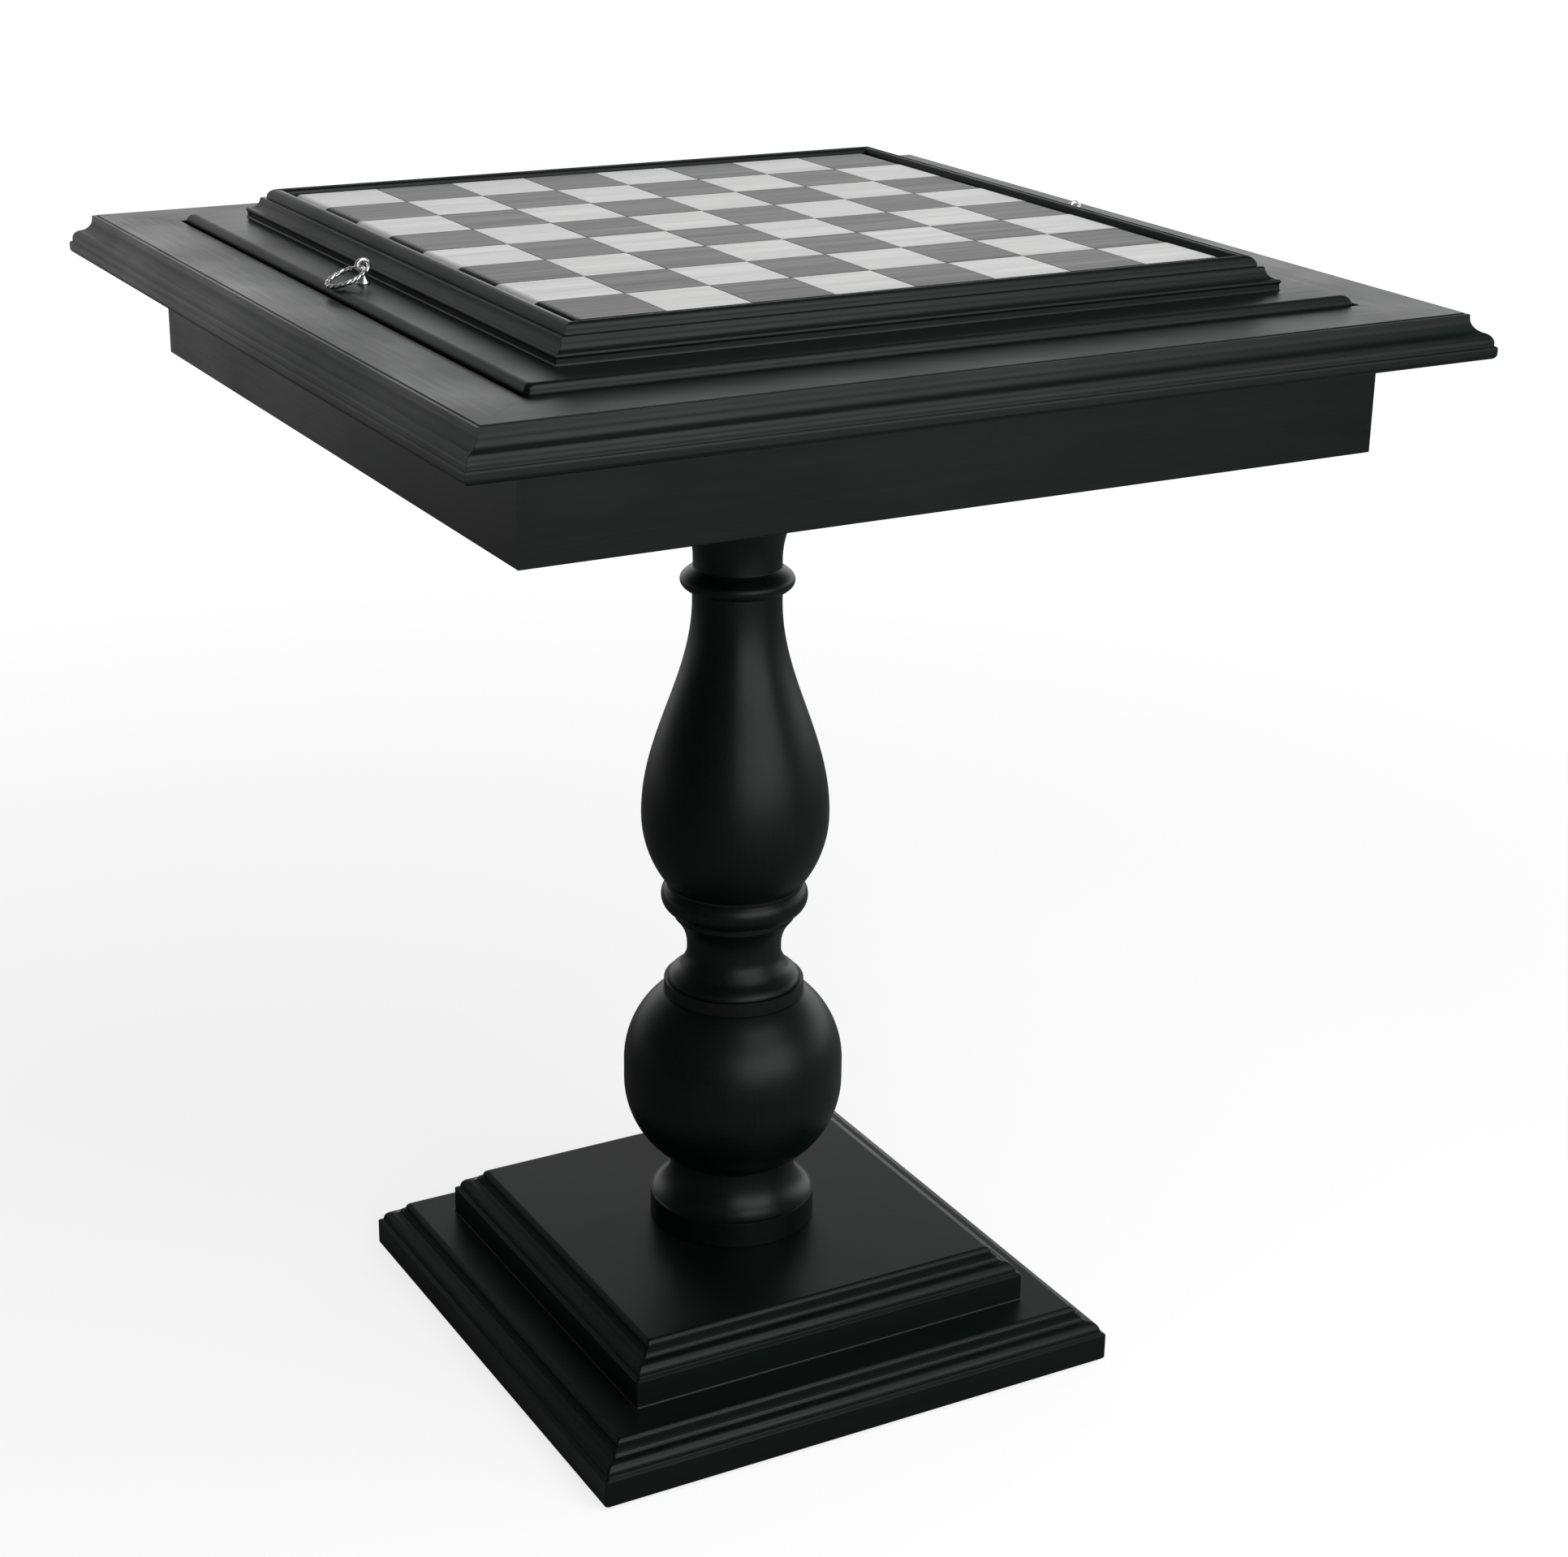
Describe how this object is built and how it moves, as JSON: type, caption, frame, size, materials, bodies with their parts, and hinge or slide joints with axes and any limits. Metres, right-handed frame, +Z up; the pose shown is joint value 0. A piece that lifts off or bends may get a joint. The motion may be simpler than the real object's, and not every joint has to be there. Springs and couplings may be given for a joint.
{
  "type": "chess table with inlaid board",
  "caption": "Square pedestal games table: framed inlaid chessboard on a lift-off lid over a shallow box, turned column, stepped square base.",
  "frame": {"origin": "on the floor, under the column's axis", "axes": "+Z up; X runs from the left ring pull to the right one; Y runs from the front edge (dark corner square on its left) to the back edge"},
  "size_m": [0.6254, 0.6254, 0.7317],
  "materials": {
    "black_lacquer": "satin black lacquer, faint grain",
    "plain_beech": "bare wood",
    "light_metal": "brushed along the board's width",
    "dark_metal": "dark brushed along the board's width",
    "chrome_plate": "polished",
    "zinc_steel": "zinc plated",
    "glide_plastic": "matte"
  },
  "bodies": {
    "table": {"apron_back": "black_lacquer", "apron_front": "black_lacquer", "apron_left": "black_lacquer", "apron_right": "black_lacquer", "base_glides": "glide_plastic", "base_lower_plinth": "black_lacquer", "base_upper_plinth": "black_lacquer", "box_bottom": "black_lacquer", "column_dowels": "plain_beech", "column_lower": "black_lacquer", "column_upper": "black_lacquer", "corner_block_back_left": "black_lacquer", "corner_block_back_right": "black_lacquer", "corner_block_front_left": "black_lacquer", "corner_block_front_right": "black_lacquer", "frame_dowels": "plain_beech", "mounting_plate": "black_lacquer", "plate_screws": "zinc_steel", "plinth_screws": "zinc_steel", "rod_nuts": "zinc_steel", "rod_washers": "zinc_steel", "tie_rod": "zinc_steel", "top_frame_back": "black_lacquer", "top_frame_front": "black_lacquer", "top_frame_left": "black_lacquer", "top_frame_right": "black_lacquer"},
    "lid": {"lid_panel": "black_lacquer", "lid_batten_left": "black_lacquer", "lid_batten_right": "black_lacquer", "batten_screws": "zinc_steel", "board_frame_front": "black_lacquer", "board_frame_right": "black_lacquer", "board_frame_back": "black_lacquer", "board_frame_left": "black_lacquer", "board_frame_screws": "zinc_steel", "board_panel": "black_lacquer", "dark_squares": "dark_metal", "light_squares": "light_metal", "ring_eye_left": "chrome_plate", "ring_eye_right": "chrome_plate"},
    "left_ring": {"pull_ring_left": "chrome_plate"},
    "right_ring": {"pull_ring_right": "chrome_plate"}
  },
  "joints": [
    {"name": "lid_lift", "type": "slide", "parent": "table", "child": "lid", "axis": [0, 0, 1], "range_m": [0, 0.25]},
    {"name": "left_ring_swing", "type": "hinge", "parent": "lid", "child": "left_ring", "pos_m": [-0.2355, 0.006, 0.72164], "axis": [0, 1, 0], "range_deg": [0, 176]},
    {"name": "right_ring_swing", "type": "hinge", "parent": "lid", "child": "right_ring", "pos_m": [0.2355, -0.003, 0.72164], "axis": [0, -1, 0], "range_deg": [0, 176]}
  ]
}
